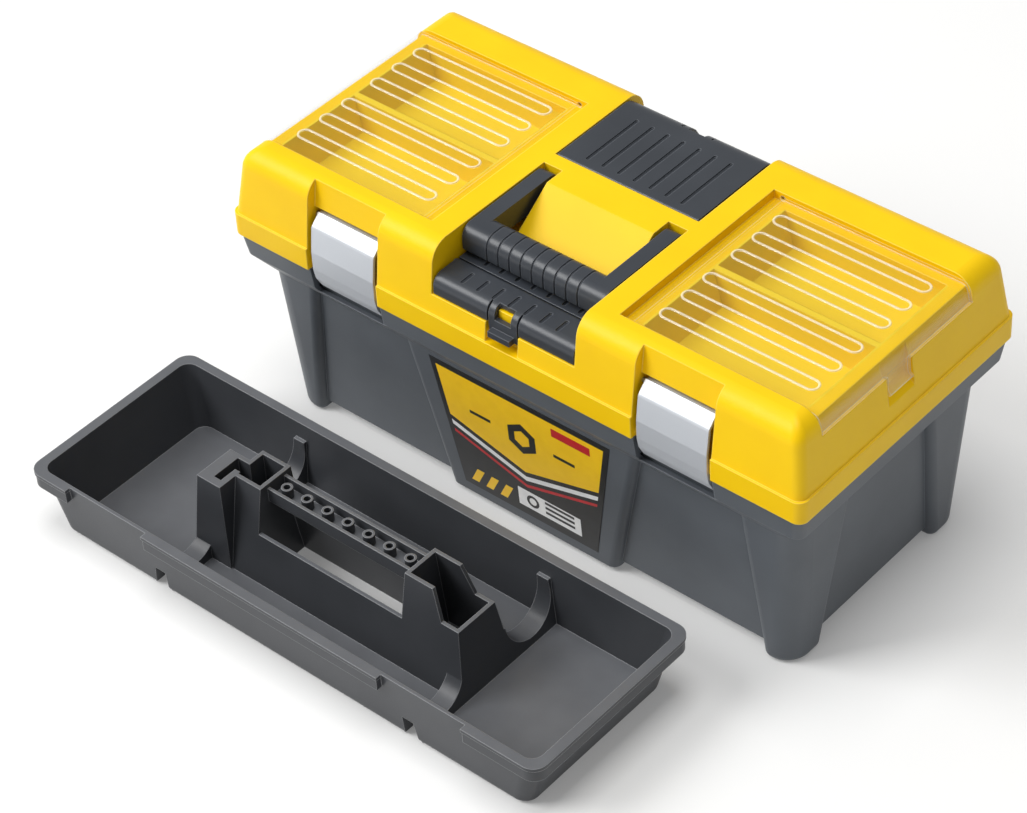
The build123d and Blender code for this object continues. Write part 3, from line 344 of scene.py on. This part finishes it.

# Clear covers. Polished polycarbonate sheet, thin enough that what lies under it shows almost
# undimmed. Light runs along inside the sheet and leaves through its edges, raised loops and lip, so these
# look bright; here they are painted bright and milky as painted highlights.


def clear_polycarbonate(sheet_z, lip_z, middle_x, barrel_x):
    """Clear polycarbonate: see-through, with painted milky highlights on edges, loops above sheet_z and the
    lip below lip_z.

    The hinge barrel stands above sheet_z too, within barrel_x of middle_x, and stays clear.
    """
    sheet_haze, lip_glint, edge_glint, loop_glint = 0.05, 0.15, 0.5, 0.55
    loop_foot, loop_full, lip_fade, edge_radius = 0.05 * MM, 0.3 * MM, 4 * MM, 1.3 * MM
    flat_cosine, edge_cosine = 0.985, 0.88
    material, tree, shader = blank_material("clear_polycarbonate")
    place = add_node(tree, "ShaderNodeTexCoord").outputs["Object"]
    spot = add_node(tree, "ShaderNodeSeparateXYZ", {"Vector": place})
    across = add_node(tree, "ShaderNodeMath", {0: spot.outputs["X"], 1: middle_x}, operation="SUBTRACT")
    away = add_node(tree, "ShaderNodeMath", {0: across.outputs[0]}, operation="ABSOLUTE")
    beyond = add_node(tree, "ShaderNodeMath", {0: away.outputs[0], 1: barrel_x}, operation="GREATER_THAN")
    raised = add_node(
        tree,
        "ShaderNodeMapRange",
        {
            "Value": spot.outputs["Z"],
            "From Min": sheet_z + loop_foot,
            "From Max": sheet_z + loop_full,
            "To Max": loop_glint,
        },
    )
    loops = add_node(
        tree,
        "ShaderNodeMath",
        {0: raised.outputs[0], 1: beyond.outputs[0]},
        operation="MULTIPLY",
    )
    lip = add_node(
        tree,
        "ShaderNodeMapRange",
        {
            "Value": spot.outputs["Z"],
            "From Min": lip_z - lip_fade,
            "From Max": lip_z,
            "To Min": lip_glint,
            "To Max": sheet_haze,
        },
    )
    edge = add_node(tree, "ShaderNodeBevel", {"Radius": edge_radius}, samples=8).outputs["Normal"]
    face = add_node(tree, "ShaderNodeNewGeometry").outputs["Normal"]
    turned = add_node(tree, "ShaderNodeVectorMath", {0: edge, 1: face}, operation="DOT_PRODUCT")
    glinting_edges = add_node(
        tree,
        "ShaderNodeMapRange",
        {
            "Value": turned.outputs["Value"],
            "From Min": flat_cosine,
            "From Max": edge_cosine,
            "To Min": 0.0,
            "To Max": edge_glint,
        },
    )
    lines = add_node(
        tree,
        "ShaderNodeMath",
        {0: loops.outputs[0], 1: glinting_edges.outputs[0]},
        operation="MAXIMUM",
    )
    haze_and_glints = add_node(
        tree,
        "ShaderNodeMath",
        {0: lines.outputs[0], 1: lip.outputs[0]},
        operation="MAXIMUM",
    )
    # Painted highlight: where the mask is high the sheet turns a more opaque warm white.
    colour = add_node(tree, "ShaderNodeValToRGB", {"Fac": haze_and_glints.outputs[0]})
    colour.color_ramp.elements[0].position = 0.06
    colour.color_ramp.elements[0].color = linear("#7C8470")
    colour.color_ramp.elements[1].position = 0.2
    colour.color_ramp.elements[1].color = linear("#FFF8E0")
    tree.links.new(haze_and_glints.outputs[0], shader.inputs["Alpha"])
    tree.links.new(edge, shader.inputs["Normal"])
    tree.links.new(colour.outputs["Color"], shader.inputs["Base Color"])
    shader.inputs["Roughness"].default_value = 0.05
    shader.inputs["IOR"].default_value = 1.58
    return material


cover_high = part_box("cover_left")[1]
barrel_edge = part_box("cover_right")[0][0]
covers_middle = (cover_high[0] + barrel_edge) / 2
loop_height, lip_drop, barrel_width = 1.1 * MM, 6 * MM, 6 * MM
polycarbonate = clear_polycarbonate(
    sheet_z=cover_high[2] - loop_height,
    lip_z=cover_high[2] - lip_drop,
    middle_x=covers_middle,
    barrel_x=barrel_edge - covers_middle + barrel_width,
)
for name in ("cover_left", "cover_right"):
    dress(name, polycarbonate)

# Tray. One moulding in grey polypropylene, with a silkier finish than the tub, a painted highlight along
# the soft edges of its rim, and its upward faces painted lighter in soft blotches as light from above.
# Seven tubes for screwdriver bits stand in the channel of the bar on its spine.
tray_polypropylene = moulded_plastic(
    "tray_polypropylene",
    dark="#393B3F",
    light="#404246",
    edge_highlight="#929396",
    roughness=0.38,
    shine=0.4,
    edge_mm=1.1,
    top_light="#66686C",
)
for name in ("tray", *(f"bit_holder_{i}" for i in range(1, 8))):
    dress(name, tray_polypropylene)

# Label. A black film stuck on the leaning front panel and screen printed in four inks. The print
# is a plain pattern of a nut, chevrons and blocks.
film_thickness = 0.4 * MM
ink_lift = 0.06 * MM
label_low, label_high = (np.array(corner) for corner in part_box("label"))
label_run, label_rise = label_high[1] - label_low[1] - film_thickness, label_high[2] - label_low[2]
label_length = np.hypot(label_run, label_rise)
label_up = np.array([0.0, -label_run, label_rise]) / label_length
label_out = np.array([0.0, -label_rise, -label_run]) / label_length
label_foot = np.array([(label_low[0] + label_high[0]) / 2, label_high[1] - film_thickness, label_low[2]])


def print_ink(name, patches, material):
    """Ink on the label: each patch is ruled between a low and a high edge of (across, up) points in mm.

    A point is the label's foot, plus across along X, plus up along label_up, plus a small lift along
    label_out. Neighbouring points of the two edges make one four-sided face.
    """
    spots, faces = [], []
    for low_edge, high_edge, layer in patches:
        flat = np.stack([np.array(low_edge, float), np.array(high_edge, float)]) * MM
        lift = layer * ink_lift * label_out
        solid = label_foot + flat[..., :1] * np.array([1.0, 0, 0]) + flat[..., 1:] * label_up + lift
        count = flat.shape[1]
        first = sum(len(spot) for spot in spots)
        step = first + np.arange(count - 1)
        faces += np.stack([step, step + 1, step + count + 1, step + count], axis=1).tolist()
        spots.append(solid.reshape(-1, 3))
    mesh = bpy.data.meshes.new(name)
    mesh.from_pydata(np.concatenate(spots).tolist(), [], faces)
    mesh.materials.append(material)
    piece = bpy.data.objects.new(name, mesh)
    bpy.context.scene.collection.objects.link(piece)
    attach(piece, "tub")


def screen_ink(name, dark, light):
    """Screen ink on film: slightly uneven colour, and a shine broken by the weave of the screen."""
    cloud_size, weave_size = 9 * MM, 0.6 * MM
    smoothest, roughest = 0.24, 0.4
    material, tree, shader = blank_material(name)
    place = add_node(tree, "ShaderNodeTexCoord").outputs["Object"]
    cloud = add_node(tree, "ShaderNodeTexNoise", {"Vector": place, "Scale": 1 / cloud_size, "Detail": 4.0})
    tint = add_node(tree, "ShaderNodeValToRGB", {"Fac": cloud.outputs["Fac"]})
    tint.color_ramp.elements[0].position = 0.35
    tint.color_ramp.elements[0].color = linear(dark)
    tint.color_ramp.elements[1].position = 0.65
    tint.color_ramp.elements[1].color = linear(light)
    weave = add_node(tree, "ShaderNodeTexNoise", {"Vector": place, "Scale": 1 / weave_size})
    dull = add_node(
        tree,
        "ShaderNodeMapRange",
        {"Value": weave.outputs["Fac"], "To Min": smoothest, "To Max": roughest},
    )
    tree.links.new(tint.outputs["Color"], shader.inputs["Base Color"])
    tree.links.new(dull.outputs["Result"], shader.inputs["Roughness"])
    return material


black_ink = screen_ink("black_film", "#151516", "#1B1B1D")
yellow_ink = screen_ink("yellow_ink", "#F6C400", "#FAC906")
white_ink = screen_ink("white_ink", "#E4E5E6", "#F1F1F0")
red_ink = screen_ink("red_ink", "#B5121B", "#C41822")
dress("label", black_ink)

half_foot, half_top = 64.0, 85.0
film_up = label_length / MM
ink_margin = 5.0


def reach(up):
    """Half width of the inked part of the label at a height: straight from foot to top, less the margin."""
    return half_foot + (half_top - half_foot) * up / film_up - ink_margin


def chevron(side_up, drop, thickness):
    """Band right across the label whose middle hangs lower than its sides by drop."""
    low = [(-reach(side_up), side_up), (0, side_up - drop), (reach(side_up), side_up)]
    top = side_up + thickness
    high = [(-reach(top), top), (0, top - drop), (reach(top), top)]
    return low, high


def ring(across, up, outer, inner, sides):
    """Flat ring, closed on itself: points at equal turns on an inner and an outer circle."""
    turn = np.linspace(0, 2 * np.pi, sides + 1)[::-1] + np.pi / 6
    circle = np.stack([np.cos(turn), np.sin(turn)], axis=1)
    return circle * inner + (across, up), circle * outer + (across, up)


def block_of(left, right, low, high, slant=0.0):
    """Four-sided block between two heights, with its top pushed sideways by slant."""
    return [(left, low), (right, low)], [(left + slant, high), (right + slant, high)]


field_top = film_up - ink_margin
field_low, _ = chevron(side_up=66, drop=20, thickness=0)
field_high = [(-reach(field_top), field_top), (0, field_top), (reach(field_top), field_top)]
slashes = [block_of(left=x, right=x + 7, low=6, high=20, slant=7) for x in (-57, -43, -29)]
white_band = chevron(side_up=57, drop=20, thickness=4.5)
card = block_of(left=-10, right=50, low=8, high=26)
red_band = chevron(side_up=50, drop=20, thickness=3.0)
tab = block_of(left=30, right=66, low=field_top - 13, high=field_top - 5)
nut = ring(across=0, up=80, outer=15, inner=8, sides=6)
washer = ring(across=4, up=17, outer=6, inner=3.5, sides=24)
dashes = [block_of(left=x, right=x + 20, low=79, high=82) for x in (-50, 30)]
rules = [block_of(left=16, right=44, low=foot, high=foot + 2.5) for foot in (12, 17, 22)]
on_film, on_ink = 1, 2
yellow_patches = [(*shape, on_film) for shape in ((field_low, field_high), *slashes)]
white_patches = [(*shape, on_film) for shape in (white_band, card)]
red_patches = [(*red_band, on_film), (*tab, on_ink)]
black_patches = [(*shape, on_ink) for shape in (nut, washer, *dashes, *rules)]
print_ink("label_print_yellow", yellow_patches, yellow_ink)
print_ink("label_print_white", white_patches, white_ink)
print_ink("label_print_red", red_patches, red_ink)
print_ink("label_print_black", black_patches, black_ink)

# Studio. A pale sheet of lit acrylic as the floor, which keeps shadows soft, one large soft light
# from the left front, a weaker one overhead, and faint light from all round that fades to the right.
bpy.ops.mesh.primitive_plane_add(size=12.0)
floor = bpy.context.object
floor.name = "floor"
floor_material, _, floor_shader = blank_material("lit_acrylic")
floor_shader.inputs["Base Color"].default_value = linear("#DEDEDD")
floor_shader.inputs["Roughness"].default_value = 0.9
floor_shader.inputs["Emission Color"].default_value = linear("#FFFFFF")
floor_shader.inputs["Emission Strength"].default_value = 0.16
floor.data.materials.append(floor_material)


def softbox(name, place, aim, size, power):
    """Square area light at place that faces aim."""
    light = bpy.data.lights.new(name, "AREA")
    light.size = size
    light.energy = power
    lamp = bpy.data.objects.new(name, light)
    lamp.location = place
    lamp.rotation_euler = (Vector(aim) - Vector(place)).to_track_quat("-Z", "Y").to_euler()
    bpy.context.scene.collection.objects.link(lamp)


softbox("key", place=(-3.0, -3.0, 3.8), aim=(0.0, -0.1, 0.1), size=2.8, power=225)
softbox("top", place=(0.0, -0.2, 4.6), aim=(0.0, -0.2, 0.1), size=2.2, power=95)

left_fill, right_fill = 0.58, 0.2
world = bpy.data.worlds.new("studio")
world.use_nodes = True
sky = world.node_tree
sky.nodes["Background"].inputs["Color"].default_value = (1, 1, 1, 1)
way = add_node(sky, "ShaderNodeTexCoord").outputs["Generated"]
side = add_node(sky, "ShaderNodeSeparateXYZ", {"Vector": way}).outputs["X"]
fill = add_node(
    sky,
    "ShaderNodeMapRange",
    {"Value": side, "From Min": -1.0, "To Min": left_fill, "To Max": right_fill},
)
sky.links.new(fill.outputs["Result"], sky.nodes["Background"].inputs["Strength"])
bpy.context.scene.world = world
bpy.context.scene.view_settings.view_transform = "Standard"

# Camera, fitted to the photograph: it looks down on the front right corner with a long lens.
IMAGE_WIDTH = 1027
focal_pixels = 3313.2
yaw, pitch, roll = radians(-42.98), radians(41.31), radians(3.72)
lid_front_to_middle = 0.126
camera_from_middle = Vector((1.2145, -1.4185, 1.6956))
forward = Vector((sin(yaw) * cos(pitch), cos(yaw) * cos(pitch), -sin(pitch)))
level = Vector((cos(yaw), -sin(yaw), 0))
down = forward.cross(level)
right = level * cos(roll) + down * sin(roll)
up = level * sin(roll) - down * cos(roll)
camera_data = bpy.data.cameras.new("camera")
camera_data.sensor_width = 36
camera_data.lens = focal_pixels * camera_data.sensor_width / IMAGE_WIDTH
camera = bpy.data.objects.new("camera", camera_data)
axes = Matrix((right, up, -forward)).transposed().to_4x4()
lid_low, lid_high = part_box("lid")
tub_middle = Vector(((lid_low[0] + lid_high[0]) / 2, lid_low[1] + lid_front_to_middle, 0.0))
camera.matrix_world = Matrix.Translation(tub_middle + camera_from_middle) @ axes
bpy.context.scene.collection.objects.link(camera)
bpy.context.scene.camera = camera
